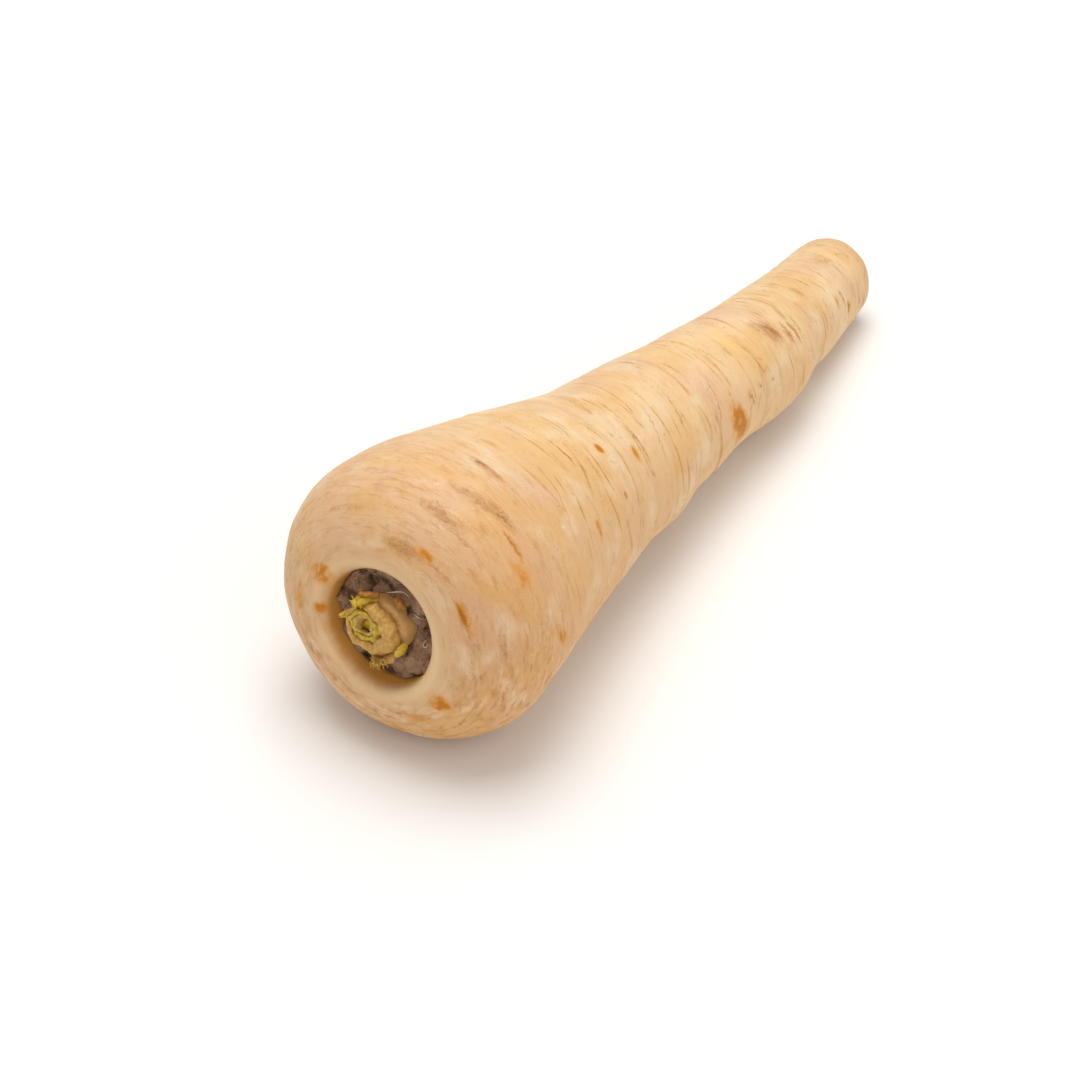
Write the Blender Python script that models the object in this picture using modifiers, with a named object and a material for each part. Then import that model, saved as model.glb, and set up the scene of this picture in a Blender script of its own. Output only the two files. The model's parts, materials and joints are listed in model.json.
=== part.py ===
"""A parsnip lying on its side: crown towards -X, tip towards +X, resting on Z = 0.

The storage root is one grown solid with a cup sunk in its crown. Dried soil fills the bottom of the
cup, round a knob of stem. The cut bases of the leaves stand on the knob, one inside another, with
torn scraps of older leaves against them.

Every round part is an outline of (station, radius) points turned about the X axis. A function then
lays it along the root's bent centre line. A station is the distance from the front of the shoulder,
an angle runs round the axis from +Y through +Z, and a radius is measured from the centre line.
"""

import math
import random

import bmesh
import bpy
from mathutils import Vector, noise

# Driving dimensions, in metres.
LENGTH = 0.1985
SHOULDER_RADIUS = 0.034
SHOULDER_STATION = 0.018
BODY_RADII = (
    (SHOULDER_STATION, SHOULDER_RADIUS),
    (0.038, 0.0304),
    (0.057, 0.0262),
    (0.076, 0.0224),
    (0.095, 0.0196),
    (0.114, 0.0174),
    (0.133, 0.0163),
    (0.152, 0.0148),
    (0.171, 0.0128),
    (0.190, 0.0117),
)
CENTRE_SIDEWAYS = (
    (0, 0),
    (0.047, -0.0004),
    (0.095, -0.0029),
    (0.143, -0.0052),
    (0.170, -0.0040),
    (LENGTH, -0.0012),
)
CENTRE_HEIGHT = ((0, 0.0353), (0.048, 0.0289), (0.095, 0.0232), (0.143, 0.0171), (LENGTH, 0.0103))
TIP_ROUND = 0.0042
TIP_FACE_RADIUS = 0.0062

# The cup in the crown and the knob of stem that rises from its floor.
LIP_RADIUS = 0.0161
RIM_RADIUS = 0.0134
RIM_STATION = 0.0022
CUP_DEPTH = 0.0095
CUP_FLOOR_RADIUS = 0.0126
CUP_TALLER = 0.06
CUP_DROP = 0.0006
# Where the cup is wider than round: middle and reach in degrees, and by what share.
CUP_BULGE = (122, 80, 0.12)
KNOB_TOP = 0.0013
KNOB_RADIUS = 0.0067
KNOB_STATION = 0.0030
KNOB_FOOT_RADIUS = 0.0071

# The root's skin: how it swells, waves and creases.
GIRTH_NOISE = 0.0005
RING_WAVE = 0.0013
CREASE_SEED = 4
CREASE_FIRST, CREASE_LAST = 0.029, 0.183
CREASE_GAP = (0.0055, 0.0105)
CREASE_DEPTH = (0.00025, 0.0006)
CREASE_HALF_WIDTH = 0.0009
PILLOW = 0.00022
# Swellings and hollows: station, angle in degrees, height, reach along, reach round in degrees.
SWELLS = (
    (0.012, 12, -0.0006, 0.010, 35),
    (0.028, 50, 0.0006, 0.006, 25),
    (0.080, 45, -0.0009, 0.011, 40),
    (0.092, 210, 0.0007, 0.006, 35),
    (0.104, 207, -0.0006, 0.005, 30),
    (0.108, 40, 0.0004, 0.006, 35),
    (0.128, 212, -0.0014, 0.009, 35),
    (0.140, 130, 0.0006, 0.008, 30),
    (0.161, 203, -0.0009, 0.005, 30),
    (0.158, 300, -0.0006, 0.008, 40),
)

# The cut leaf bases. Each is a ring: outer radius and wall, the station of its cut face, and how
# far off the bunch's middle the ring's inner edge lies. The youngest leaf is a bud in the hollow.
FACE_STATION = -0.0018
BASE_STATION = KNOB_TOP - 0.0003
BASE_FLARE = 1.08
BUNCH_LEAN = (0.0008, 0.0012)
LEAF_BASES = (
    ("leaf_base_outer", 0.0060, 0.0020, -0.0018, 0.0),
    ("leaf_base_middle", 0.0037, 0.0008, -0.0017, 1.0),
    ("leaf_base_inner", 0.0026, 0.0006, -0.0014, 1.0),
)
HEART_OFFSET = (0.0012, 0.0002)
HEART_RADIUS = 0.0017
HEART_TOP = -0.0001
NOTCH = (60, 55, 0.0012)

# Torn scraps of older leaves: middle angle and spread in degrees, station of the torn top, lean
# outwards, thickness, and how far off the outer leaf base they stand.
SCRAPS = (
    ("green_scrap_upper", 62, 44, -0.0026, -0.0004, 0.0006, 0.0003),
    ("green_scrap_left", 2, 26, -0.0020, 0.0004, 0.0006, 0.0003),
    ("green_scrap_lower", 200, 26, -0.0010, 0.0007, 0.0007, 0.0003),
    ("brown_scrap_upper", 72, 28, -0.0010, 0.0006, 0.0007, 0.0013),
    ("old_leaf_sheath", 247, 60, -0.0014, 0.0016, 0.0008, 0.0003),
)
BUD_PLACE = (0.0021, 0.0090, 120)
BUD_SIZE = (0.0010, 0.0015, 0.0007)

# The dried soil.
SOIL_GAP = 0.00035
SOIL_TOP = 0.0042
CLOD_SIZE = 0.0046
CLOD_HEIGHT = 0.0014
# Heaps and pits in it: distance from the axis, angle in degrees, height and reach.
HEAPS = (
    (0.0115, 85, 0.0014, 0.0060),
    (0.0108, 225, 0.0016, 0.0048),
    (0.0112, 140, 0.0008, 0.0045),
    (0.0092, 48, -0.0022, 0.0030),
    (0.0100, 176, -0.0028, 0.0036),
    (0.0108, 340, -0.0012, 0.0050),
    (0.0115, 272, -0.0010, 0.0045),
)

ROOT_SEGMENTS = 48
LEAF_SEGMENTS = 28
SOIL_SEGMENTS = 72


def through(knots, at):
    """The height at one place of the smooth curve through (place, height) knots."""
    last = len(knots) - 1
    i = 0
    while i < last - 1 and at > knots[i + 1][0]:
        i += 1
    x0, y0 = knots[i]
    x1, y1 = knots[i + 1]
    chord = (y1 - y0) / (x1 - x0)
    before = chord if i == 0 else (y1 - knots[i - 1][1]) / (x1 - knots[i - 1][0])
    after = chord if i == last - 1 else (knots[i + 2][1] - y0) / (knots[i + 2][0] - x0)
    t = (at - x0) / (x1 - x0)
    if t < 0:
        return y0 + before * (at - x0)
    if t > 1:
        return y1 + after * (at - x1)
    width = x1 - x0
    return (
        y0 * (2 * t**3 - 3 * t**2 + 1)
        + before * width * (t**3 - 2 * t**2 + t)
        + y1 * (3 * t**2 - 2 * t**3)
        + after * width * (t**3 - t**2)
    )


def smooth_step(low, high, value):
    t = min(1.0, max(0.0, (value - low) / (high - low)))
    return t * t * (3 - 2 * t)


def bell(distance, reach):
    """1 at no distance, falling smoothly to 0 at the reach."""
    return 1 - smooth_step(0, reach, abs(distance))


def turn_between(a, b):
    """The angle from b to a, in degrees, between -180 and 180."""
    return (a - b + 180) % 360 - 180


def centre(station):
    return Vector((station, through(CENTRE_SIDEWAYS, station), through(CENTRE_HEIGHT, station)))


def across(station, y, z):
    """The point this far to the side and up, in the plane square to the centre line."""
    step = 0.001
    along = (centre(station + step) - centre(station - step)).normalized()
    side = Vector((0, 0, 1)).cross(along).normalized()
    return centre(station) + side * y + along.cross(side) * z


def body_radius(station):
    return through(BODY_RADII, station)


def out_of_round(station, radius, angle):
    """The cup is taller than wide, sits low and bulges to one side: its (y, z) for a round one."""
    share = bell(radius - RIM_RADIUS, RIM_RADIUS - KNOB_FOOT_RADIUS)
    if station > SHOULDER_STATION:
        share = 0
    towards, reach, wider = CUP_BULGE
    radius *= 1 + wider * share * bell(turn_between(math.degrees(angle), towards), reach)
    y, z = radius * math.cos(angle), radius * math.sin(angle)
    return y, z * (1 + CUP_TALLER * share) - CUP_DROP * share


# ---- the root ----


def creases():
    """The furrows across the skin: station, middle angle, half spread in degrees and depth."""
    draw = random.Random(CREASE_SEED)
    station = CREASE_FIRST
    while station < CREASE_LAST:
        yield station, draw.uniform(0, 360), draw.uniform(70, 170), draw.uniform(*CREASE_DEPTH)
        station += draw.uniform(*CREASE_GAP)


CREASES = tuple(creases())


def relief(station, angle):
    """How far the skin stands above the smooth body."""
    round_y, round_z = math.cos(angle), math.sin(angle)
    height = GIRTH_NOISE * noise.noise(Vector((station * 38, round_y * 1.3, round_z * 1.3)))
    degrees = math.degrees(angle)
    for at, towards, lift, reach, spread in SWELLS:
        height += lift * bell(station - at, 2 * reach) * bell(turn_between(degrees, towards), 2 * spread)
    for at, towards, spread, depth in CREASES:
        if abs(station - at) < 2 * CREASE_HALF_WIDTH:
            share = bell(turn_between(degrees, towards), spread)
            height -= depth * share * bell(station - at, CREASE_HALF_WIDTH)
            height += PILLOW * share * (1 - bell(station - at, 2 * CREASE_HALF_WIDTH))
    return height


def lay_root(station, radius, angle):
    """Gives the turned root its skin, bends it, and flattens it a little where it lies."""
    outside = 1.0 if station > SHOULDER_STATION else smooth_step(0.018, 0.026, radius)
    outside *= smooth_step(0, 0.006, radius)
    radius += outside * relief(station, angle)
    wave = noise.noise(Vector((station * 24 + 5, math.cos(angle), math.sin(angle))))
    station += outside * RING_WAVE * wave
    point = across(station, *out_of_round(station, radius, angle))
    point.z = max(point.z, 0.0)
    return point


def wall_radius(station):
    """The cup's radius at a station between its floor and its rim."""
    share = (station - RIM_STATION) / (CUP_DEPTH - RIM_STATION)
    return RIM_RADIUS + (CUP_FLOOR_RADIUS - RIM_RADIUS) * share


def knob_radius(station):
    """The knob's radius at a station between its shoulder and its foot."""
    share = (station - KNOB_STATION) / (CUP_DEPTH - KNOB_STATION)
    return KNOB_RADIUS + (KNOB_FOOT_RADIUS - KNOB_RADIUS) * share


def arc(middle, radius, start, end, count):
    """Points on an ellipse's arc, where radius is (along, outwards) and angles are in degrees."""
    for i in range(count):
        a = math.radians(start + (end - start) * i / (count - 1))
        yield middle[0] + radius[0] * math.cos(a), middle[1] + radius[1] * math.sin(a)


def root_outline():
    """Knob, cup, lip, shoulder, body and tip, from axis to axis."""
    knob_round = KNOB_STATION - KNOB_TOP
    outline = [(KNOB_TOP, 0), (KNOB_TOP, 0.5 * KNOB_RADIUS)]
    outline += arc(
        (KNOB_STATION, KNOB_RADIUS - knob_round), (-knob_round, knob_round), 12, 90, 5
    )
    outline += [(CUP_DEPTH, KNOB_FOOT_RADIUS), (CUP_DEPTH, CUP_FLOOR_RADIUS)]
    outline.append((SOIL_TOP, wall_radius(SOIL_TOP)))
    outline += arc(
        (RIM_STATION, LIP_RADIUS), (-RIM_STATION, -(LIP_RADIUS - RIM_RADIUS)), 90, 0, 5
    )
    outline += list(
        arc(
            (SHOULDER_STATION, LIP_RADIUS),
            (-SHOULDER_STATION, SHOULDER_RADIUS - LIP_RADIUS),
            9,
            90,
            9,
        )
    )
    stations = [0.0225]
    for i, (at, *_) in enumerate(CREASES):
        stations += [at - CREASE_HALF_WIDTH, at, at + CREASE_HALF_WIDTH]
        following = CREASES[i + 1][0] if i + 1 < len(CREASES) else CREASE_LAST + 0.006
        stations.append(0.5 * (at + following))
    outline += [(at, body_radius(at)) for at in stations]
    end_radius = body_radius(LENGTH - TIP_ROUND)
    outline += arc(
        (LENGTH - TIP_ROUND, TIP_FACE_RADIUS),
        (TIP_ROUND, end_radius - TIP_FACE_RADIUS),
        90,
        0,
        5,
    )
    return outline + [(LENGTH + 0.0001, 0)]


# ---- the leaf bases ----


def lay_bunch(station, radius, angle):
    """Lays a part of the bunch of leaf bases, which widens and straightens towards the knob."""
    share = (station - FACE_STATION) / (BASE_STATION - FACE_STATION)
    radius *= 1 + (BASE_FLARE - 1) * share
    return across(
        station,
        radius * math.cos(angle) + BUNCH_LEAN[0] * (1 - share),
        radius * math.sin(angle) + BUNCH_LEAN[1] * (1 - share),
    )


def torn(angle, seed):
    """A rim's ragged rise and fall round it, from about -1 to 1."""
    return noise.noise(Vector((2.6 * math.cos(angle), 2.6 * math.sin(angle), seed)))


def lay_leaf_base(outer, wall, face, shift, seed):
    """Lays one leaf base, with a ragged cut rim and its inner edge set over to one side."""

    def lay(station, radius, angle):
        height = (BASE_STATION - station) / (BASE_STATION - face)
        station -= 0.0006 * height * torn(angle, seed)
        if radius > outer - wall and not shift:
            station += NOTCH[2] * height * bell(turn_between(math.degrees(angle), NOTCH[0]), NOTCH[1])
        point = lay_bunch(station, radius, angle)
        share = max(shift, (outer - radius) / wall)
        return point + Vector((0, *HEART_OFFSET)) * share

    return lay


def leaf_base_outline(radius, wall, face):
    """A ring's cross-section with rounded rims, as a closed loop."""
    round_off = 0.3 * wall
    inner = radius - wall
    middle = 0.5 * (BASE_STATION + face)
    return [
        (BASE_STATION, inner),
        (middle, inner),
        (face + round_off, inner),
        (face, inner + round_off),
        (face, radius - round_off),
        (face + round_off, radius),
        (middle, radius),
        (BASE_STATION, radius),
    ]


def heart_outline():
    """The youngest leaf, a blunt bud at the bottom of the hollow."""
    shoulder = BASE_STATION - 0.0003
    outline = [(BASE_STATION, 0), (BASE_STATION, HEART_RADIUS)]
    outline += arc((shoulder, 0), (HEART_TOP - shoulder, HEART_RADIUS), 90, 0, 5)
    return outline


def lay_heart(station, radius, angle):
    return lay_bunch(station, radius, angle) + Vector((0, *HEART_OFFSET))


def lay_scrap(middle, spread, top, lean, wall, stand_off, seed):
    """Lays a sheet (0 to 1 along, 0 to 1 up) against the outer leaf base, torn along its top."""
    nearest = LEAF_BASES[0][1] + stand_off + 0.5 * wall

    def lay(along, up):
        angle = math.radians(middle + spread * (along - 0.5) * (1 - 0.35 * up))
        reach = 1 - 0.35 * up * abs(torn(3 * angle, seed)) - 0.4 * (2 * along - 1) ** 4
        station = BASE_STATION + (top - BASE_STATION) * up * reach
        return lay_bunch(station, nearest + lean * up**2, angle)

    return lay


# ---- the soil ----


def clod_height(y, z):
    """Packed clods: each has its own level and slope, with a crevice between it and the next."""
    spots, points = noise.voronoi(Vector((y / CLOD_SIZE, z / CLOD_SIZE, 1.7)))
    level = noise.cell(points[0] * 3)
    slope = (y / CLOD_SIZE - points[0].x) * 0.35
    crevice = smooth_step(0.0, 0.28, spots[1] - spots[0])
    return CLOD_HEIGHT * ((0.25 + 0.75 * level + slope) * crevice - 0.5)


def soil_height(y, z):
    height = clod_height(y, z)
    for away, angle, lift, reach in HEAPS:
        turn = math.radians(angle)
        height += lift * bell(math.hypot(y - away * math.cos(turn), z - away * math.sin(turn)), reach)
    return height


def lay_soil(station, radius, angle):
    y, z = out_of_round(station, radius, angle)
    share = 1 - smooth_step(SOIL_TOP, SOIL_TOP + 0.0012, station)
    return across(station - share * soil_height(y, z), y, z)


def soil_outline():
    floor = CUP_DEPTH - SOIL_GAP
    edge = SOIL_TOP + 0.0014
    inner = knob_radius(SOIL_TOP) + SOIL_GAP
    outer = wall_radius(SOIL_TOP) - SOIL_GAP
    outline = [(floor, knob_radius(floor) + SOIL_GAP), (edge, knob_radius(edge) + SOIL_GAP)]
    bands = 8
    for i in range(bands + 1):
        outline.append((SOIL_TOP, inner + (outer - inner) * i / bands))
    return outline + [(edge, wall_radius(edge) - SOIL_GAP), (floor, wall_radius(floor) - SOIL_GAP)]


# ---- building ----


def material(name, colour, roughness):
    made = bpy.data.materials.new(name)
    made.use_nodes = True
    shader = made.node_tree.nodes["Principled BSDF"]
    shader.inputs["Base Color"].default_value = (*colour, 1)
    shader.inputs["Roughness"].default_value = roughness
    shader.inputs["Metallic"].default_value = 0
    return made


def finish(obj, collection, skin, sharp_degrees=50):
    obj.data.shade_smooth()
    obj.data.set_sharp_from_angle(angle=math.radians(sharp_degrees))
    obj.data.materials.append(skin)
    collection.objects.link(obj)
    return obj


def evaluated_copy(obj, name):
    """The object's mesh with its modifiers applied, as a new object."""
    bpy.context.scene.collection.objects.link(obj)
    bpy.context.view_layer.update()
    graph = bpy.context.evaluated_depsgraph_get()
    mesh = bpy.data.meshes.new_from_object(obj.evaluated_get(graph))
    bpy.data.objects.remove(obj)
    mesh.name = name
    return bpy.data.objects.new(name, mesh)


def turned(name, outline, segments, lay, closed=False):
    """Turns an outline about X with a Screw modifier, then moves each point with lay."""
    guide = bpy.data.meshes.new(name)
    count = len(outline)
    edges = [(i, i + 1) for i in range(count - 1)] + ([(count - 1, 0)] if closed else [])
    guide.from_pydata([(station, 0, radius) for station, radius in outline], edges, [])
    obj = bpy.data.objects.new(name + "_outline", guide)
    screw = obj.modifiers.new("Turn", "SCREW")
    screw.axis = "X"
    screw.steps = screw.render_steps = segments
    screw.use_merge_vertices = True
    screw.merge_threshold = 0.000001
    made = evaluated_copy(obj, name)
    for vertex in made.data.vertices:
        station, y, z = vertex.co
        vertex.co = lay(station, math.hypot(y, z), math.atan2(z, y))
    return made


def face_outwards(obj):
    work = bmesh.new()
    work.from_mesh(obj.data)
    bmesh.ops.remove_doubles(work, verts=work.verts, dist=0.000001)
    bmesh.ops.recalc_face_normals(work, faces=work.faces)
    work.to_mesh(obj.data)
    work.free()
    return obj


def sheet(name, wall, lay, columns=10, rows=4):
    """A grid moved by lay, from (0 to 1 along, 0 to 1 up), then given thickness."""
    work = bmesh.new()
    bmesh.ops.create_grid(work, x_segments=columns, y_segments=rows, size=0.5)
    for vertex in work.verts:
        vertex.co = lay(vertex.co.x + 0.5, vertex.co.y + 0.5)
    flat = bpy.data.meshes.new(name)
    work.to_mesh(flat)
    work.free()
    obj = bpy.data.objects.new(name + "_sheet", flat)
    solid = obj.modifiers.new("Thickness", "SOLIDIFY")
    solid.thickness = wall
    solid.offset = 0
    return evaluated_copy(obj, name)


def bud_scale():
    """A dried bud scale lying on the soil beside the knob: an almond, pointed at both ends."""
    work = bmesh.new()
    bmesh.ops.create_uvsphere(work, u_segments=12, v_segments=10, radius=1)
    station, radius, angle = BUD_PLACE
    angle = math.radians(angle)
    for vertex in work.verts:
        along, thick, wide = vertex.co.z, vertex.co.x, vertex.co.y
        narrow = 1 - 0.6 * along * along
        turn = angle + BUD_SIZE[1] * along / radius
        vertex.co = across(
            station + BUD_SIZE[2] * thick * narrow,
            (radius + BUD_SIZE[0] * wide * narrow) * math.cos(turn),
            (radius + BUD_SIZE[0] * wide * narrow) * math.sin(turn),
        )
    mesh = bpy.data.meshes.new("bud_scale")
    work.to_mesh(mesh)
    work.free()
    return bpy.data.objects.new("bud_scale", mesh)


def stand_on_origin(objects):
    """Moves all the pieces together, so that the origin is under the middle of their bounds."""
    points = [vertex.co for obj in objects for vertex in obj.data.vertices]
    low = Vector(min(point[axis] for point in points) for axis in range(3))
    high = Vector(max(point[axis] for point in points) for axis in range(3))
    middle = (low + high) / 2
    for point in points:
        point -= Vector((middle.x, middle.y, low.z))


def main():
    for obj in list(bpy.data.objects):
        bpy.data.objects.remove(obj)
    parts = bpy.data.collections.new("parsnip")
    bpy.context.scene.collection.children.link(parts)

    skin = material("parsnip_skin", (0.78, 0.58, 0.36), 0.55)
    pale = material("leaf_base_pale", (0.62, 0.48, 0.25), 0.6)
    green = material("leaf_base_green", (0.45, 0.47, 0.08), 0.5)
    brown = material("dried_leaf_brown", (0.30, 0.11, 0.05), 0.7)
    earth = material("dried_soil", (0.13, 0.095, 0.07), 0.95)

    root = turned("root", root_outline(), ROOT_SEGMENTS, lay_root)
    finish(face_outwards(root), parts, skin)
    soil = turned("soil", soil_outline(), SOIL_SEGMENTS, lay_soil, closed=True)
    finish(face_outwards(soil), parts, earth, 30)
    for seed, (name, radius, wall, face, shift) in enumerate(LEAF_BASES):
        lay = lay_leaf_base(radius, wall, face, shift, 3.3 * seed + 1)
        ring = turned(name, leaf_base_outline(radius, wall, face), LEAF_SEGMENTS, lay, closed=True)
        finish(face_outwards(ring), parts, green if shift else pale)
    heart = turned("leaf_heart", heart_outline(), LEAF_SEGMENTS, lay_heart)
    finish(face_outwards(heart), parts, green)
    for seed, (name, middle, spread, top, lean, wall, stand_off) in enumerate(SCRAPS):
        lay = lay_scrap(middle, spread, top, lean, wall, stand_off, 2.1 * seed + 7)
        colour = green if name.startswith("green") else brown if name.startswith("brown") else pale
        finish(face_outwards(sheet(name, wall, lay)), parts, colour)
    finish(face_outwards(bud_scale()), parts, brown)
    stand_on_origin(parts.objects)


main()
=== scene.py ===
"""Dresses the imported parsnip: its skin, the dried soil in the crown, the cut leaf bases and fibres."""

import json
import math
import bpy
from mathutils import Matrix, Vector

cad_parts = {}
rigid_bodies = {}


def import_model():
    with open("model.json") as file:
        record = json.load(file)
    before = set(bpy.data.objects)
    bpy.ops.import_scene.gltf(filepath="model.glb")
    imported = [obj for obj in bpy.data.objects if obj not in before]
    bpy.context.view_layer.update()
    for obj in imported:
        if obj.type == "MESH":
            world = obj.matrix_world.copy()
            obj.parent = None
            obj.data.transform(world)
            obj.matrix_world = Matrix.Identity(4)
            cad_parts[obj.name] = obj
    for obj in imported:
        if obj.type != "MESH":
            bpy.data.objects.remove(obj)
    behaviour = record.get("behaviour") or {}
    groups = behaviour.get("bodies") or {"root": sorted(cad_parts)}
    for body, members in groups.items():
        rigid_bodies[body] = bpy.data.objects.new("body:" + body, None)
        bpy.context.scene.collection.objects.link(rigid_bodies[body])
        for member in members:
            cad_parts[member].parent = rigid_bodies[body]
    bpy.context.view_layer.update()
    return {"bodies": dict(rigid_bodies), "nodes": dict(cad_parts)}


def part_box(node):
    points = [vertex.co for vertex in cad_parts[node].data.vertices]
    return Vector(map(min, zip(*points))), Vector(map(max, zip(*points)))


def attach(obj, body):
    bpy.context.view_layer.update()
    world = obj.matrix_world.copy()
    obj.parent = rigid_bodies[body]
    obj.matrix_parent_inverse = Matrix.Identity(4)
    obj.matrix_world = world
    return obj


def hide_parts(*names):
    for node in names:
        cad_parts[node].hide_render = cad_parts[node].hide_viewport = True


bl_info = {
    "name": "Parsnip dressing",
    "version": (1, 0, 0),
    "blender": (4, 5, 0),
    "location": "3D View > Sidebar > Parsnip",
    "description": "Grows skin, soil, leaf bases and fibres round the packed parsnip",
    "category": "Object",
}

import bmesh
import bpy
import numpy as np
from bpy.props import FloatProperty, FloatVectorProperty, PointerProperty
from mathutils import Matrix, Vector

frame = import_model()
BODY = next(iter(frame["bodies"]))
MM = 0.001

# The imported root's box in metres, and where its centre line starts: the crown's face leans back, so
# its lower edge stands in front of the start. Stations, along that line, and other sizes are in mm.
ROOT_LOW, ROOT_HIGH = (Vector(corner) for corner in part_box("root"))
CROWN_LEAN = 2.3
CROWN_FRONT = ROOT_LOW.x + CROWN_LEAN * MM
SHOULDER_STATION = 18.0
TIP_STATION = (ROOT_HIGH.x - CROWN_FRONT) / MM
SHOULDER_RADIUS = (ROOT_HIGH.y - ROOT_LOW.y) / 2 / MM
LIP_RADIUS = 16.0
KNOB_RADIUS = 7.4


def linear(code):
    """An sRGB hex colour as linear red, green, blue and alpha."""
    channels = [int(code[i : i + 2], 16) / 255 for i in (1, 3, 5)]
    return (*((c / 12.92 if c < 0.04045 else ((c + 0.055) / 1.055) ** 2.4) for c in channels), 1.0)


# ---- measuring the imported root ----

# The centre line passes through the middles of rings of corners, cut at even steps.
RING_STATIONS = np.arange(8, TIP_STATION - 4, 6)
RING_REACH = 6
LINE_DEGREE = 4
# A place's station depends on the line's slope there, and the line on the places: both settle in rounds.
STATION_ROUNDS = 5
LINE_ROUNDS = 3


def numbers(items, field, width):
    """A field of every item, with one row of numbers for each."""
    values = np.empty(len(items) * width)
    items.foreach_get(field, values)
    return values.reshape(-1, width)


def corners_of(mesh):
    return numbers(mesh.vertices, "co", 3)


def straightened(points, course):
    """Places (station, sideways, up) in mm, as if the root were straight along its centre line."""
    x, y, z = (points - (CROWN_FRONT, 0, 0)).T / MM
    station = x
    for _ in range(STATION_ROUNDS):
        slope_y, slope_z = (np.polyval(np.polyder(line), station) for line in course)
        middle_y, middle_z = (np.polyval(line, station) for line in course)
        y_off, z_off = y - middle_y, z - middle_z
        station = x + y_off * slope_y + z_off * slope_z
    along = np.stack([np.ones_like(x), slope_y, slope_z], 1)
    along /= np.linalg.norm(along, axis=1)[:, None]
    side = np.stack([-along[:, 1], along[:, 0], np.zeros_like(x)], 1)
    side /= np.linalg.norm(side, axis=1)[:, None]
    upward = np.cross(along, side)
    off = np.stack([x - station, y_off, z_off], 1)
    return np.stack([station, (off * side).sum(1), (off * upward).sum(1)], 1)


def centre_line():
    """The root's centre line: polynomials for its sideways and upward course, in mm."""
    points = corners_of(frame["nodes"]["root"].data)
    course = [np.zeros(LINE_DEGREE + 1), np.array([0] * LINE_DEGREE + [SHOULDER_RADIUS])]
    for _ in range(LINE_ROUNDS):
        places = straightened(points, course)
        rings = [places[abs(places[:, 0] - station) < RING_REACH] for station in RING_STATIONS]
        middles = np.array([(ring.max(0) + ring.min(0)) / 2 for ring in rings])
        fits = (np.polyfit(RING_STATIONS, middles[:, i], LINE_DEGREE) for i in (1, 2))
        course = [line + fit for line, fit in zip(course, fits)]
    return course


COURSE = centre_line()
PLACES = straightened(corners_of(frame["nodes"]["root"].data), COURSE)


def crown_point(depth, sideways, up):
    """A place in the crown, in metres, from its depth below the lip and its offset in mm."""
    along = Vector((1, *(np.polyval(np.polyder(line), depth) for line in COURSE))).normalized()
    side = Vector((-along.y, along.x, 0)).normalized()
    middle = Vector((depth, *(np.polyval(line, depth) for line in COURSE)))
    return (middle + side * sideways + along.cross(side) * up) * MM + Vector((CROWN_FRONT, 0, 0))


# ---- working with nodes and meshes ----

MATH = "ShaderNodeMath"
VECTOR_MATH = "ShaderNodeVectorMath"
NOISE = "ShaderNodeTexNoise"
MAP_RANGE = "ShaderNodeMapRange"
SMOOTH = {"interpolation_type": "SMOOTHSTEP"}
# Corners closer than this, in mm, are one. Triangles that are nearly level and square pair up.
WELD_REACH = 0.001
PAIR_LEVEL = math.radians(50)
PAIR_SQUARE = math.radians(70)


def fill(tree, node, inputs):
    """Sets or links a node's inputs, by name or in order. A node stands for its first output."""
    for key, value in inputs.items() if isinstance(inputs, dict) else enumerate(inputs):
        if isinstance(value, bpy.types.Node):
            value = value.outputs[0]
        if isinstance(value, bpy.types.NodeSocket):
            tree.links.new(value, node.inputs[key])
        elif isinstance(value, str) and value.startswith("#"):
            node.inputs[key].default_value = linear(value)
        else:
            node.inputs[key].default_value = value


def add(tree, kind, inputs=(), **settings):
    """Adds a node with its settings, and sets or links its inputs."""
    node = tree.nodes.new(kind)
    for name, value in settings.items():
        setattr(node, name, value)
    fill(tree, node, inputs)
    return node


def new_tree(name, sizes):
    """A Geometry Nodes tree with a named input for each size, and its inputs' sockets."""
    tree = bpy.data.node_groups.new(name, "GeometryNodeTree")
    tree.interface.new_socket("Geometry", in_out="OUTPUT", socket_type="NodeSocketGeometry")
    for label in ("Geometry", "Material"):
        tree.interface.new_socket(label, in_out="INPUT", socket_type="NodeSocket" + label)
    for label, default in sizes.items():
        kind = "NodeSocketInt" if isinstance(default, int) else "NodeSocketFloat"
        tree.interface.new_socket(label, in_out="INPUT", socket_type=kind).default_value = default
    return tree, add(tree, "NodeGroupInput").outputs


def end_tree(tree, geometry, material):
    """Closes a tree with Realize Instances and Set Material."""
    real = add(tree, "GeometryNodeRealizeInstances", [geometry])
    smooth = add(tree, "GeometryNodeSetShadeSmooth", [real])
    result = add(tree, "GeometryNodeSetMaterial", {"Geometry": smooth, "Material": material})
    add(tree, "NodeGroupOutput", [result])
    return tree


def ruffled(tree, cloud, tall, before):
    """A height that rises and falls by half of tall with a cloud, added to the one before."""
    cloud = add(tree, NOISE, cloud)
    level = add(tree, MATH, [cloud, 0.5], operation="SUBTRACT")
    return add(tree, MATH, [level, tall, before], operation="MULTIPLY_ADD")


def pushed(tree, surface, height, shift=(0, 0, 0), chosen=True):
    """A surface, or the chosen part of it, moved by a height along its normal and by a shift."""
    lift = {0: add(tree, "GeometryNodeInputNormal"), "Scale": height}
    offset = [add(tree, VECTOR_MATH, lift, operation="SCALE"), shift]
    moved = {"Geometry": surface, "Selection": chosen, "Offset": add(tree, VECTOR_MATH, offset)}
    return add(tree, "GeometryNodeSetPosition", moved)


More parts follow.
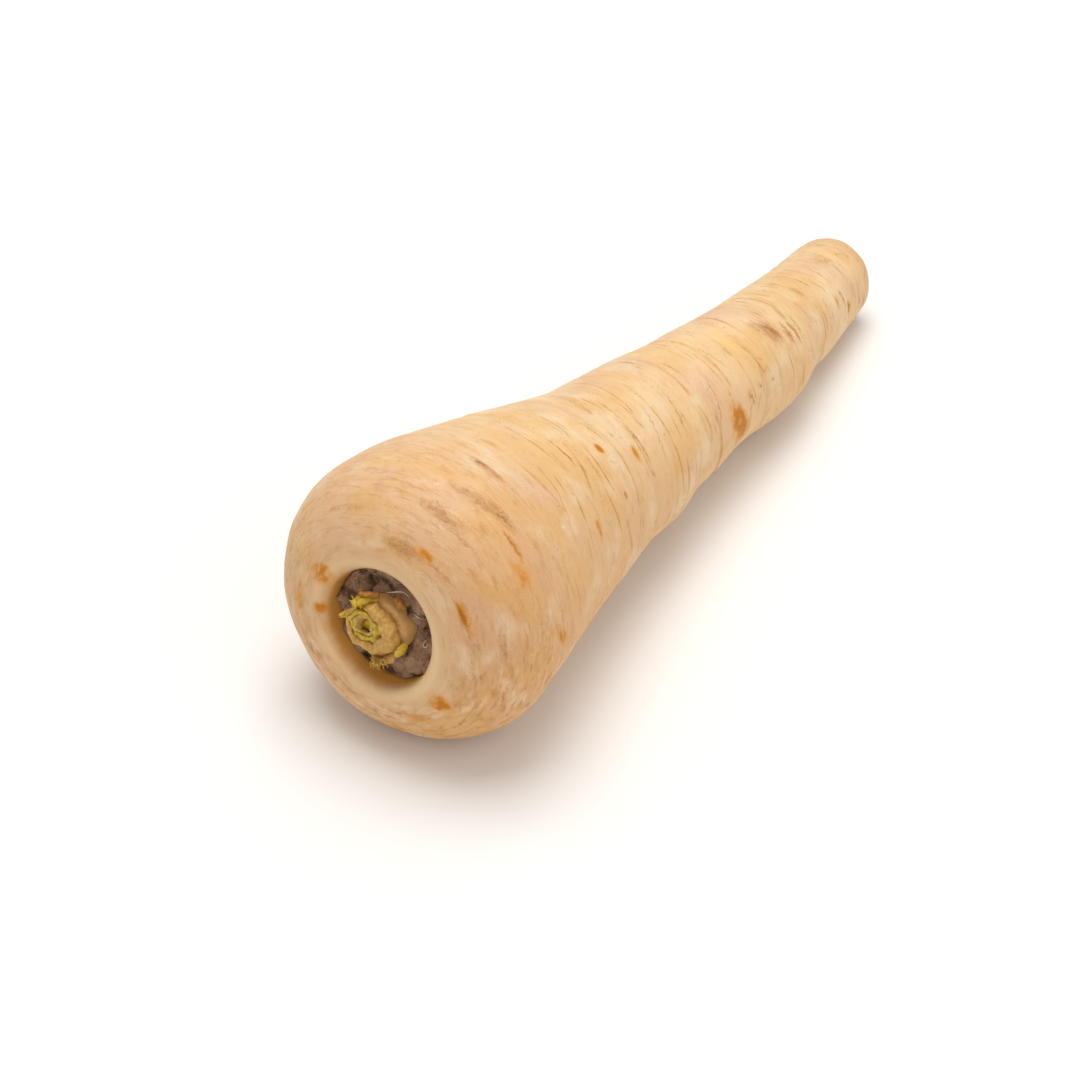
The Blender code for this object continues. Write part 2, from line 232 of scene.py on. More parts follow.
def strewn(tree, surface, spots, piece, rotation, sizes, seed):
    """Joins a surface with copies of a piece at its spots, in random sizes from least to most."""
    sizes = {"Min": sizes[0], "Max": sizes[1], "Seed": seed}
    sizes = add(tree, "FunctionNodeRandomValue", sizes, data_type="FLOAT_VECTOR")
    copies = {"Points": spots, "Instance": piece, "Rotation": rotation, "Scale": sizes}
    copies = add(tree, "GeometryNodeInstanceOnPoints", copies)
    both = add(tree, "GeometryNodeJoinGeometry", [surface])
    fill(tree, both, [copies])
    return both


def grow(obj, tree, settings, name):
    """Runs a Geometry Nodes tree on an object and keeps the result as a plain mesh."""
    modifier = obj.modifiers.new(tree.name, "NODES")
    modifier.node_group = tree
    for socket in tree.interface.items_tree:
        if socket.in_out == "INPUT" and socket.name in settings:
            modifier[socket.identifier] = settings[socket.name]
    bpy.context.scene.collection.objects.link(obj)
    graph = bpy.context.evaluated_depsgraph_get()
    evaluated = obj.evaluated_get(graph)
    mesh = bpy.data.meshes.new_from_object(evaluated, preserve_all_data_layers=True, depsgraph=graph)
    bpy.data.objects.remove(obj)
    mesh.name = name
    piece = bpy.data.objects.new(name, mesh)
    bpy.context.scene.collection.objects.link(piece)
    return piece


def welded_copy(node):
    """A CAD node's mesh with its corners merged and its triangles paired into quads."""
    mesh = frame["nodes"][node].data.copy()
    mesh.materials.clear()
    work = bmesh.new()
    work.from_mesh(mesh)
    bmesh.ops.remove_doubles(work, verts=work.verts, dist=WELD_REACH * MM)
    pairing = {"angle_face_threshold": PAIR_LEVEL, "angle_shape_threshold": PAIR_SQUARE}
    bmesh.ops.join_triangles(work, faces=work.faces, **pairing)
    work.to_mesh(mesh)
    work.free()
    return bpy.data.objects.new(node + "_copy", mesh)


def mark(mesh, name, values, kind="FLOAT"):
    """Stores one value for each corner point under a name that materials and trees read."""
    layer = mesh.attributes.new(name, kind, "POINT")
    field = "vector" if kind == "FLOAT_VECTOR" else "value"
    layer.data.foreach_set(field, np.ascontiguousarray(values, dtype=np.float32).ravel())


def settle(piece, slot, *nodes):
    """Hands a finished piece to the frame."""
    if nodes:
        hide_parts(*nodes)
    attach(piece, BODY)


def ramp(values, low, high):
    """0 below low, 1 above high and a smooth rise between them."""
    share = np.clip((values - low) / (high - low), 0, 1)
    return share * share * (3 - 2 * share)


# ---- working with colours ----


def new_material(name):
    """An empty material: its tree, its Principled shader and its output."""
    material = bpy.data.materials.new(name)
    material.use_nodes = True
    tree = material.node_tree
    tree.nodes.clear()
    shader = add(tree, "ShaderNodeBsdfPrincipled")
    add(tree, "ShaderNodeOutputMaterial", {"Surface": shader})
    return material, tree, shader


def object_place(tree):
    """The place on the object in mm."""
    place = add(tree, "ShaderNodeTexCoord").outputs["Object"]
    return add(tree, VECTOR_MATH, {0: place, "Scale": 1 / MM}, operation="SCALE")


def stretched(tree, place, along, around):
    """A place scaled so that one unit is this many mm along the root and round it."""
    scale = (1 / along, 1 / around, 1 / around)
    return add(tree, VECTOR_MATH, [place, scale], operation="MULTIPLY")


def patches(tree, place, size, low, high, detail, shift):
    """Soft patches of a size in mm, (along, round) or one number: 0 below low, 1 above high."""
    along, around = size if isinstance(size, tuple) else (size, size)
    at = [stretched(tree, place, along, around), (shift, 0.37 * shift, -shift)]
    cloud = {"Vector": add(tree, VECTOR_MATH, at), "Scale": 1.0, "Detail": detail}
    limits = {"Value": add(tree, NOISE, cloud), "From Min": low, "From Max": high}
    return add(tree, MAP_RANGE, limits, **SMOOTH)


def times(tree, *factors):
    """The product of masks and numbers."""
    product = factors[0]
    for factor in factors[1:]:
        product = add(tree, MATH, [product, factor], operation="MULTIPLY")
    return product


def painted(tree, colour, *coats):
    """Lays coats over a colour in order. A coat is (the factors of its mask, its colour)."""
    for *mask, coat in coats:
        mix = {"Fac": times(tree, *mask), "Color1": colour, "Color2": coat}
        colour = add(tree, "ShaderNodeMixRGB", mix)
    return colour


def clouded(tree, place, colour, *clouds):
    """Lays coats of patches: (size, low, high, detail, shift, more factors of the mask, colour)."""
    for size, low, high, detail, shift, *coat in clouds:
        cloud = patches(tree, place, size, low, high, detail, shift)
        colour = painted(tree, colour, (cloud, *coat))
    return colour


# ---- the skin ----

# Marks on the skin: (place along the skin, angle round it, half length, half width,
# slant, strength), in mm and degrees. The place is the station, and below SHOULDER_STATION it runs on
# over the shoulder to the lip at about -8. Half length is measured round the root.
RUST_PATCHES = (
    (118.4, 172, 7.5, 3.2, 30, 1),
    (-0.2, 112, 3, 1.2, 0, 0.75),
    (-1.3, 151, 4.8, 1.2, 0, 0.8),
    (-6, 29, 3.2, 2.8, 0, 0.75),
    (-7.6, 356, 1.8, 1.6, 0, 0.9),
    (-2.6, 356, 5, 1.6, 0, 0.5),
    (-4.4, 215, 2.6, 2.2, 0, 1),
    (22, 178, 5.6, 1.9, 40, 0.75),
    (13.3, 144, 4.4, 2.8, 0, 0.5),
    (62.8, 122, 2, 1.1, 20, 0.8),
    (73.6, 136, 2.6, 1.3, 0, 0.7),
    (47.5, 153, 3.6, 1.2, 0, 0.7),
    (179.4, 166, 2, 1.1, 0, 1),
    (173.6, 148, 2.6, 1.1, 10, 0.6),
    (-3, 240, 3.4, 1.4, 0, 0.5),
    (2, 262, 5, 1.6, 0, 0.6),
    (6, 300, 4, 1.5, 10, 0.6),
    (3, 335, 4.4, 1.6, 0, 0.7),
    (14, 20, 4.6, 1.5, 0, 0.5),
    (86, 288, 3.8, 1.4, 0, 0.8),
    (122, 20, 3.6, 1.7, 0, 0.8),
    (150, 262, 3, 1.4, 0, 0.8),
)
RUST_MARKS = (
    (15.2, 134, 4.6, 0.5, 0, 0.9),
    (26.6, 110, 1.8, 0.6, 8, 0.7),
    (62.5, 149, 1.2, 0.5, 0, 0.8),
    (51.6, 116, 3.6, 0.35, 0, 0.8),
    (123.8, 158, 2.6, 0.7, 20, 0.8),
    (128.3, 153, 0.8, 0.8, 0, 0.8),
    (133.5, 155, 0.9, 0.7, 0, 0.8),
    (142.8, 125, 3.2, 1, 20, 0.8),
    (187, 178, 1.6, 0.6, 0, 0.8),
    (34, 325, 3, 0.8, 0, 0.6),
    (60, 352, 2.2, 0.7, 0, 0.6),
    (104, 240, 2.6, 0.6, 0, 0.7),
)
BRUISE_PATCHES = (
    (27, 104, 4.9, 1.4, 5, 1),
    (16.6, 116, 9.6, 1.8, 12, 0.9),
    (8, 107, 7.2, 1.5, -3, 0.85),
    (-1.4, 101, 5.4, 1.5, 0, 0.9),
    (4.6, 169, 6.2, 0.9, 0, 0.7),
    (-0.8, 168, 3.2, 0.9, 0, 0.7),
    (141, 120, 5, 2.6, 24, 1),
    (149.6, 114, 2.6, 0.8, 0, 0.7),
    (146.4, 136, 3.2, 0.8, 16, 0.8),
    (181.3, 98, 3.4, 2.2, 0, 0.6),
    (191.5, 78, 4.6, 1.6, 0, 0.7),
    (191.5, 185, 3, 1.4, 0, 0.7),
    (162.7, 108, 3.6, 1.5, 0, 0.6),
    (-4.3, 288, 3.8, 0.9, 0, 0.6),
    (-6.6, 350, 4.3, 1.3, 0, 0.4),
    (3.5, 62, 9.5, 0.9, 0, 0.4),
    (-3.5, 195, 4.9, 0.9, 0, 0.5),
    (102, 300, 4.6, 1.3, 0, 0.7),
    (44, 20, 6, 1.1, 0, 0.6),
    (70, 240, 5, 1.1, 0, 0.6),
    (166, 330, 3, 1.1, 0, 0.7),
    (20, 330, 8.6, 1, 0, 0.6),
    (130, 285, 4, 1, 0, 0.7),
)
DARK_MARKS = (
    (26.8, 101, 1.9, 0.6, 6, 0.9),
    (17.4, 124, 2.6, 0.45, 8, 0.5),
    (191, 184, 1.8, 0.6, 0, 0.8),
    (59.1, 90, 0.4, 0.35, 0, 0.9),
    (117.6, 75, 0.6, 0.4, 0, 0.9),
    (141.4, 120, 2.2, 0.5, 24, 0.7),
    (-1.6, 149, 6, 0.5, 0, 0.5),
    (69.7, 119, 0.9, 0.6, 0, 0.5),
    (90, 330, 2.4, 0.4, 0, 0.8),
    (52, 280, 3, 0.4, 0, 0.8),
)
PALE_PATCHES = (
    (13.9, 98, 1.3, 0.7, 60, 0.6),
    (34, 140, 0.7, 0.6, 0, 0.8),
)
STREAK_MARKS = (
    (27.2, 122, 5.5, 0.3, 4, 0.7),
    (51.6, 112, 5, 0.3, 4, 0.8),
    (56.5, 128, 7, 0.3, -3, 0.6),
    (66, 112, 4.6, 0.3, 10, 0.8),
    (77.4, 107, 5, 0.3, 0, 0.6),
    (85, 133, 8.6, 0.26, -15, 0.8),
    (95.7, 130, 7.3, 0.26, -10, 0.8),
    (102.5, 80, 5.5, 0.28, 0, 0.6),
    (110.5, 139, 7.6, 0.26, -9, 0.8),
    (119.4, 110, 6.2, 0.26, 15, 0.6),
    (147, 132, 4.2, 0.7, 12, 1),
    (149.6, 135, 4, 0.6, 10, 1),
    (152, 130, 3.6, 0.5, 5, 0.9),
    (149.8, 112, 2.6, 0.4, 0, 0.8),
    (161.9, 80, 2.6, 0.4, 0, 0.8),
    (171, 118, 4.4, 0.3, 5, 0.7),
    (183, 100, 4, 0.3, 0, 0.6),
    (7, 122, 6, 0.3, 3, 0.6),
    (-0.5, 124, 5.5, 0.3, 5, 0.6),
    (22, 175, 7, 0.35, 0, 0.6),
    (31, 168, 6, 0.3, 4, 0.6),
)
YELLOW_PATCHES = (
    (127.1, 105, 4.6, 3, 0, 0.9),
    (118, 84, 5, 2.2, 0, 0.5),
    (31, 150, 6, 4, 0, 0.5),
    (14.8, 70, 6, 3.6, 0, 0.5),
)
# The broad marks, by the name under which the skin's mesh stores them.
BROAD_MARKS = {
    "yellow": YELLOW_PATCHES,
    "bruise": BRUISE_PATCHES,
    "rust": RUST_PATCHES,
    "pale": PALE_PATCHES,
}
# Sets of fine creases: how far apart and how long they are, half a line's width, the share that is
# missing, and where in the cloud the set starts, in mm or shares.
CREASE_SETS = (
    (6, 60, 0.52, 0.43, 3),
    (4.2, 40, 0.42, 0.48, 11),
    (2.4, 22, 0.28, 0.60, 23),
)
# The slope of a crease's cloud is taken over this step along the root, in mm.
CREASE_STEP = 0.1
# A mark reaches this deep into the skin, in mm, and fades out this far past its half sizes, as a
# share. Broad marks are gone this deep in the cup, in mm, where they start to fade, and end.
MARK_DEPTH = 6.0
SHARP_EDGE = (1.15, 0.35)
BROAD_EDGE = 1.35
CUP_FADE = (1.0, 2.5)
# A corner this far below its neighbours, in mm, lies in a hollow.
HOLLOW_DEPTH = 0.15
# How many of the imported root's corners give its radius at a station.
NEAREST = 40


def body_radius(station):
    """The root's radius in mm at a station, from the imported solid's nearest corners."""
    near = PLACES[np.argsort(abs(PLACES[:, 0] - station))[:NEAREST]]
    return float(np.hypot(near[:, 1], near[:, 2]).mean())


def front_radius(along):
    """The radius in mm where the skin's measure has this value on the front of the shoulder."""
    reach = SHOULDER_STATION - along
    for radius in np.arange(SHOULDER_RADIUS, LIP_RADIUS - 2, -0.1):
        rise = 1 - ((radius - LIP_RADIUS) / (SHOULDER_RADIUS - LIP_RADIUS)) ** 2
        forward = SHOULDER_STATION * math.sqrt(max(0.0, rise))
        if math.hypot(forward, SHOULDER_RADIUS - radius) >= reach:
            return float(radius)
    return LIP_RADIUS


def mark_frame(along, angle, slant):
    """A mark's middle in straightened mm, and the turn that lays it on the skin."""
    radius = body_radius(along) if along >= SHOULDER_STATION else front_radius(along)
    turn = Matrix.Rotation(math.radians(angle), 3, "X") @ Matrix.Rotation(math.radians(slant), 3, "Y")
    return Vector((along, *(turn @ Vector((0, radius, 0))).yz)), turn


def marks_mask(tree, place, marks):
    """The small sharp marks of one kind as one mask: soft-edged ovals in straightened mm."""
    mask = 0.0
    for along, angle, half_length, half_width, slant, strength in marks:
        middle, turn = mark_frame(along, angle, slant)
        at = {"Vector": place, "Location": middle, "Rotation": turn.to_euler("XYZ")}
        at["Scale"] = (half_width, MARK_DEPTH, half_length)
        local = add(tree, "ShaderNodeMapping", at, vector_type="TEXTURE")
        away = add(tree, VECTOR_MATH, [local], operation="LENGTH").outputs["Value"]
        fall = {"Value": away, "From Min": SHARP_EDGE[0], "From Max": SHARP_EDGE[1], "To Max": strength}
        soft = add(tree, MAP_RANGE, fall, **SMOOTH)
        mask = add(tree, MATH, [soft, mask], operation="MAXIMUM")
    return mask


def marks_field(mesh, name, marks):
    """Stores how deep each corner point lies in the broad marks of one kind: strength to 0."""
    places = numbers(mesh.attributes["skin_place"].data, "vector", 3)
    inside = numbers(mesh.attributes["cup_depth"].data, "value", 1)[:, 0]
    field = np.zeros(len(places))
    for along, angle, half_length, half_width, slant, strength in marks:
        middle, turn = mark_frame(along, angle, slant)
        local = (places - np.array(middle)) @ np.array(turn)
        away = np.linalg.norm(local / (half_width, MARK_DEPTH, half_length), axis=1)
        field = np.maximum(field, strength * np.clip(BROAD_EDGE - away, 0, 1))
    start, end = CUP_FADE
    mark(mesh, name, field * np.clip((end - inside) / (end - start), 0, 1))


def broad_mark(tree, place, name, size, shift):
    """A broad mark's mask, its stored depth made ragged by a cloud of a size in mm."""
    field = add(tree, "ShaderNodeAttribute", attribute_name=name).outputs["Fac"]
    cloud = patches(tree, place, size, 0.25, 0.75, 5.0, shift)
    uneven = add(tree, MATH, [cloud, 0.9, 0.5], operation="MULTIPLY_ADD")
    limits = {"Value": times(tree, field, uneven), "From Min": 0.06, "From Max": 0.92}
    return add(tree, MAP_RANGE, limits, **SMOOTH)


def creases_mask(tree, place):
    """Fine creases: thin broken lines round the root, where a stretched cloud crosses its middle.

    The cloud's slope along the root turns the height above the middle into a distance in mm.
    """
    crease = 0.0
    for spacing, reach, width, share, shift in CREASE_SETS:
        levels = []
        for ahead in (0.0, CREASE_STEP):
            at = [stretched(tree, place, spacing, reach), (shift + ahead / spacing, shift, shift)]
            cloud = {"Vector": add(tree, VECTOR_MATH, at), "Scale": 1.0}
            levels.append(add(tree, NOISE, {**cloud, "Detail": 1.5, "Roughness": 0.4}))
        slope = add(tree, MATH, [levels[1], levels[0]], operation="SUBTRACT")
        away = add(tree, MATH, [levels[0], 0.5], operation="SUBTRACT")
        away = add(tree, MATH, [away, slope], operation="DIVIDE")
        away = add(tree, MATH, [away], operation="ABSOLUTE")
        edge = {"Value": away, "From Min": width / CREASE_STEP, "From Max": 0.0}
        line = add(tree, MAP_RANGE, edge, **SMOOTH)
        part = times(tree, line, patches(tree, place, (3.0, 9), share, share + 0.2, 5.0, shift))
        crease = add(tree, MATH, [part, crease], operation="MAXIMUM")
    return crease


def skin_material(settings):
    """Raw parsnip skin, washed and dry: a thin satin rind, creased across, over pale moist flesh.

    Light enters the flesh a little, which softens its shading. Fine brown creases run round it, with
    rusty and bruised marks where side roots and knocks were.
    """
    material, tree, shader = new_material("Parsnip skin")
    place = add(tree, "ShaderNodeAttribute", attribute_name="skin_place").outputs["Vector"]
    sunk, knob, scarred, hollow, skin, body = (
        add(tree, "ShaderNodeAttribute", attribute_name=name).outputs["Fac"]
        for name in ("cup_depth", "knob", "knob_scar", "hollow", "outer_skin", "body")
    )
    front = add(tree, MATH, [skin, body], operation="SUBTRACT")

    # Masks are made shortly before the coats that use them, which keeps the shader small. First
    # come the parts of the root: the smooth lip, the underside, the painted-shade side and the tip's end.
    split = add(tree, "ShaderNodeSeparateXYZ", [place]).outputs
    near_lip, under, side, tip = (
        add(tree, MAP_RANGE, {"Value": split[axis], "From Min": start, "From Max": end}, **SMOOTH)
        for axis, start, end in (
            ("X", -2.0, -7.0),
            ("Z", 14.0, -14.0),
            ("Y", -4.0, -30.0),
            ("X", TIP_STATION - 10, TIP_STATION - 1),
        )
    )
    # Then where mottling is: all the skin but the lip, and most of it below and in front.
    grown = times(tree, skin, add(tree, MATH, [near_lip, -0.7, 1.0], operation="MULTIPLY_ADD"))
    busy = add(tree, MATH, [body, -0.6, 1.0], operation="MULTIPLY_ADD")
    worn = add(tree, MATH, [under, 1.2, 0.7], operation="MULTIPLY_ADD")
    busy = times(tree, grown, busy, worn)
    bands = patches(tree, place, (2.4, 30), 0.35, 0.75, 3.0, 1.0)
    coats = (
        (front, 0.85, "#E2B68A"),
        (bands, 0.2, "#E4B781"),
        # Painted shade: the side towards -Y, which the key light leaves dull, is darkened.
        (side, skin, 0.48, "#D2985A"),
        (tip, 0.8, "#C98F5E"),
        (near_lip, skin, 0.7, "#DFB486"),
    )
    colour = painted(tree, settings.cream, *coats)
    clouds = (
        ((13, 16), 0.44, 0.66, 4.0, 2.0, grown, 0.45, "#E3AE62"),
        ((16, 20), 0.48, 0.68, 4.0, 6.0, grown, 0.45, "#DDAF90"),
        ((9, 13), 0.50, 0.68, 4.0, 41.0, grown, 0.35, "#F4E0C2"),
        ((2.2, 4.4), 0.56, 0.72, 4.0, 14.0, busy, 0.5, "#CC8A3C"),
        ((1.2, 3.6), 0.55, 0.72, 4.0, 17.0, busy, 0.45, "#B47A34"),
        ((0.7, 5.0), 0.54, 0.70, 4.0, 71.0, front, 0.35, "#BC8048"),
        ((1.2, 7.0), 0.50, 0.70, 4.0, 83.0, front, worn, 0.24, "#F4DDB6"),
        ((1.8, 5.0), 0.50, 0.66, 4.0, 91.0, front, under, 0.45, "#B67C3A"),
        ((0.3, 0.4), 0.68, 0.74, 4.0, 33.0, grown, 0.4, "#8E5C20"),
    )
    colour = clouded(tree, place, colour, *clouds)
    mottle = patches(tree, place, (1.3, 2.6), 0.4, 0.72, 5.0, 20.0)
    speck = patches(tree, place, (0.32, 0.55), 0.56, 0.66, 2.0, 5.0)
    rows = patches(tree, place, (1.8, 12), 0.54, 0.68, 3.0, 9.0)
    specks = (mottle, busy, 0.4, "#D8A468"), (speck, rows, grown, 0.45, "#A06A20")
    # The crease colour laid in the skin's hollows is partly the creases' own brown and partly painted
    # shade.
    colour = painted(tree, colour, *specks, (hollow, skin, 0.15, settings.crease))

    # Creases are beaded with lighter gaps, and faint on the front.
    crease = creases_mask(tree, place)
    faint = add(tree, MATH, [body, 0.86, 0.14], operation="MULTIPLY_ADD")
    beads = patches(tree, place, (0.5, 1.4), 0.3, 0.6, 3.0, 27.0)
    beads = add(tree, MATH, [beads, 0.6, 0.4], operation="MULTIPLY_ADD")
    crease = times(tree, crease, beads, skin, faint)
    colour = painted(tree, colour, (crease, 0.7, settings.crease), (crease, speck, 0.4, "#94580C"))

    # Inside the crown: a pale lip, then a gold wall painted dark brown with depth as painted shade, and the
    # knob.
    ragged = add(tree, MATH, [mottle, 0.9, sunk], operation="MULTIPLY_ADD")
    for depth, low, high, strength, tint in (
        (sunk, 0.02, 1.0, 0.8, "#DDB283"),
        (ragged, 1.0, 3.2, 0.85, "#D89A3C"),
        # Painted shade deep in the cup, next to the soil.
        (ragged, 4.4, 5.8, 0.65, "#8E6024"),
    ):
        limits = {"Value": depth, "From Min": low, "From Max": high, "To Max": strength}
        colour = painted(tree, colour, (add(tree, MAP_RANGE, limits), tint))
    fresh_scar = patches(tree, place, (0.5, 0.7), 0.38, 0.62, 5.0, 3.0)
    colour = painted(tree, colour, (knob, settings.knob), (knob, mottle, 0.3, "#C0904E"))
    colour = painted(tree, colour, (scarred, fresh_scar, 0.7, "#D69458"), (scarred, speck, 0.7, "#8A5020"))

    # The sharp marks are read from a place shaken by about 1 mm, which makes their edges ragged.
    shake = {"Vector": place, "Scale": 0.8, "Detail": 5.0, "Roughness": 0.65}
    shake = [add(tree, NOISE, shake).outputs["Color"], (0.5, 0.5, 0.5)]
    shake = [add(tree, VECTOR_MATH, shake, operation="SUBTRACT"), (2.0, 4.0, 4.0), place]
    shaken = add(tree, VECTOR_MATH, shake, operation="MULTIPLY_ADD")
    streak = marks_mask(tree, shaken, STREAK_MARKS)
    colour = painted(tree, colour, (streak, 0.7, settings.crease))
    yellow = broad_mark(tree, place, "yellow", 2.4, 51.0)
    colour = painted(tree, colour, (yellow, 0.45, "#F0C878"))
    bruise = broad_mark(tree, place, "bruise", (0.8, 1.6), 55.0)
    colour = painted(tree, colour, (bruise, 0.65, settings.bruise), (bruise, speck, 0.5, "#92581C"))
    rust = broad_mark(tree, place, "rust", (1.5, 2.2), 63.0)
    colour = painted(tree, colour, (rust, 1.2, "#E79C36"), (rust, rust, 0.9, settings.rust))
    rust = marks_mask(tree, shaken, RUST_MARKS)
    colour = painted(tree, colour, (rust, 0.9, settings.rust), (rust, speck, 0.45, "#A0580E"))
    dark = marks_mask(tree, shaken, DARK_MARKS)
    colour = painted(tree, colour, (dark, 0.7, "#6A4020"))
    pale = broad_mark(tree, place, "pale", 0.6, 59.0)
    colour = painted(tree, colour, (pale, 0.8, "#F6E2C4"))

    # Relief: creases and dark marks are pressed in, and a 0.3 mm grain breaks up the shine.
    grain = add(tree, NOISE, {"Vector": place, "Scale": 2.6, "Detail": 4.0})
    height = grain
    for mask, press in ((crease, -0.05), (streak, -0.1), (bands, 0.3), (dark, -0.5), (bruise, -0.15)):
        height = add(tree, MATH, [mask, press, height], operation="MULTIPLY_ADD")
    relief = {"Height": height, "Strength": 0.6, "Distance": settings.grain_depth}
    rough = {"Value": grain, "From Min": 0.3, "From Max": 0.7, "To Min": 0.4, "To Max": 0.6}
    finish = {
        "Base Color": colour,
        "Normal": add(tree, "ShaderNodeBump", relief),
        "Roughness": add(tree, MAP_RANGE, rough),
        "IOR": 1.42,
        "Specular IOR Level": 0.3,
        "Subsurface Weight": 0.2,
        "Subsurface Radius": (1.0, 0.5, 0.25),
        "Subsurface Scale": 0.8 * MM,
    }
    fill(tree, shader, finish)
    return material


def skin_tree():
    """Refines the welded root and raises its ripples and low waves along the normal."""
    sizes = {"Levels": 2, "Ripple height": 0.12 * MM, "Ripple spacing": 3.4}
    tree, given = new_tree("Root skin", {**sizes, "Swell height": 0.3 * MM, "Swell size": 14.0})
    fine = add(tree, "GeometryNodeSubdivisionSurface", [given["Geometry"], given["Levels"]])
    place = add(tree, "GeometryNodeInputNamedAttribute", {"Name": "skin_place"}, data_type="FLOAT_VECTOR")
    skin = add(tree, "GeometryNodeInputNamedAttribute", {"Name": "raised"}, data_type="FLOAT")
    height = 0.0
    for size, tall, stretch in (("Ripple spacing", "Ripple height", 9), ("Swell size", "Swell height", 1)):
        fast = add(tree, MATH, [1.0, given[size]], operation="DIVIDE")
        slow = add(tree, MATH, [fast, stretch], operation="DIVIDE")
        scale = add(tree, "ShaderNodeCombineXYZ", [fast, slow, slow])
        at = add(tree, VECTOR_MATH, [place, scale], operation="MULTIPLY")
        height = ruffled(tree, {"Vector": at, "Scale": 1.0, "Detail": 2.0}, given[tall], height)
    moved = pushed(tree, fine, times(tree, height, skin))
    return end_tree(tree, moved, given["Material"])


def hollows(mesh):
    """How far each corner point lies below its neighbours along the normal: 1 at HOLLOW_DEPTH."""
    work = bmesh.new()
    work.from_mesh(mesh)
    depth = []
    for vertex in work.verts:
        around = [edge.other_vert(vertex).co for edge in vertex.link_edges]
        middle = sum(around, Vector()) / len(around)
        depth.append((middle - vertex.co).dot(vertex.normal) / (HOLLOW_DEPTH * MM))
    work.free()
    return np.clip(np.array(depth), 0, 1)


def describe_skin(mesh):
    """Stores where each corner point lies on the straightened root, and what is there."""
    places = straightened(corners_of(mesh), COURSE)
    station, radius = places[:, 0].copy(), np.hypot(places[:, 1], places[:, 2])
    front = station < SHOULDER_STATION
    outer = ~front | (radius > LIP_RADIUS - 1)
    reach = np.hypot(SHOULDER_STATION - station, SHOULDER_RADIUS - radius)
    places[:, 0] = np.where(front, SHOULDER_STATION - reach, station)
    inside = front & (radius < LIP_RADIUS)
    knob = front & (radius < KNOB_RADIUS)
    above_floor = ramp(corners_of(mesh)[:, 2] / MM, 0.0, 1.5)
    skin = np.where(front, ramp(radius, LIP_RADIUS - 1, LIP_RADIUS + 4), 1.0)
    mark(mesh, "skin_place", places, "FLOAT_VECTOR")
    mark(mesh, "outer_skin", skin)
    mark(mesh, "raised", skin * above_floor * outer)
    mark(mesh, "body", skin * ramp(places[:, 0], 10, 50))
    mark(mesh, "cup_depth", np.where(inside, np.clip(station, 0, 10), 0))
    mark(mesh, "knob", knob.astype(float))
    # The scar runs over the knob's upper edge, on the side away from the leaf bases' lean.
    edge = ramp(radius, 4.0, 4.8) * ramp(-radius, -6.2, -5.4)
    mark(mesh, "knob_scar", knob * edge * ramp(places[:, 2] - places[:, 1], 1.0, 4.0))
    # The hollows' depth carries painted shade, along with the creases' brown, into the skin's colour.
    mark(mesh, "hollow", hollows(mesh) * skin)


# ---- the soil, the leaf bases and the fibres ----


def soil_material(settings):
    """Dried garden loam: fine crumbs packed in clods, grey-brown and quite without shine."""
    material, tree, shader = new_material("Dried loam")
    place = object_place(tree)
    clod = add(tree, "ShaderNodeAttribute", attribute_name="clod").outputs["Fac"]
    # Painted shade: the pits where the clods meet are darkened.
    painted_gap_shade = add(tree, MAP_RANGE, {"Value": clod, "From Min": 0.8, "From Max": 0.45})
    clouds = (
        (4.0, 0.4, 0.6, 3.0, 1.0, 0.7, "#B28F72"),
        (1.6, 0.5, 0.7, 4.0, 4.0, 0.5, "#7C5E48"),
        (0.35, 0.55, 0.72, 3.0, 7.0, 0.5, "#C8AA8A"),
        (0.3, 0.56, 0.72, 3.0, 9.0, 0.6, "#573F2E"),
    )
    colour = clouded(tree, place, settings.soil, *clouds)
    grain = add(tree, NOISE, {"Vector": place, "Scale": 4.0, "Detail": 4.0})
    relief = {"Height": grain, "Strength": 0.8, "Distance": 0.2 * MM}
    finish = {
        "Base Color": painted(tree, colour, (painted_gap_shade, 0.8, "#3E291C")),
        "Roughness": 0.95,
        "Specular IOR Level": 0.2,
        "Normal": add(tree, "ShaderNodeBump", relief),
    }
    fill(tree, shader, finish)
    return material


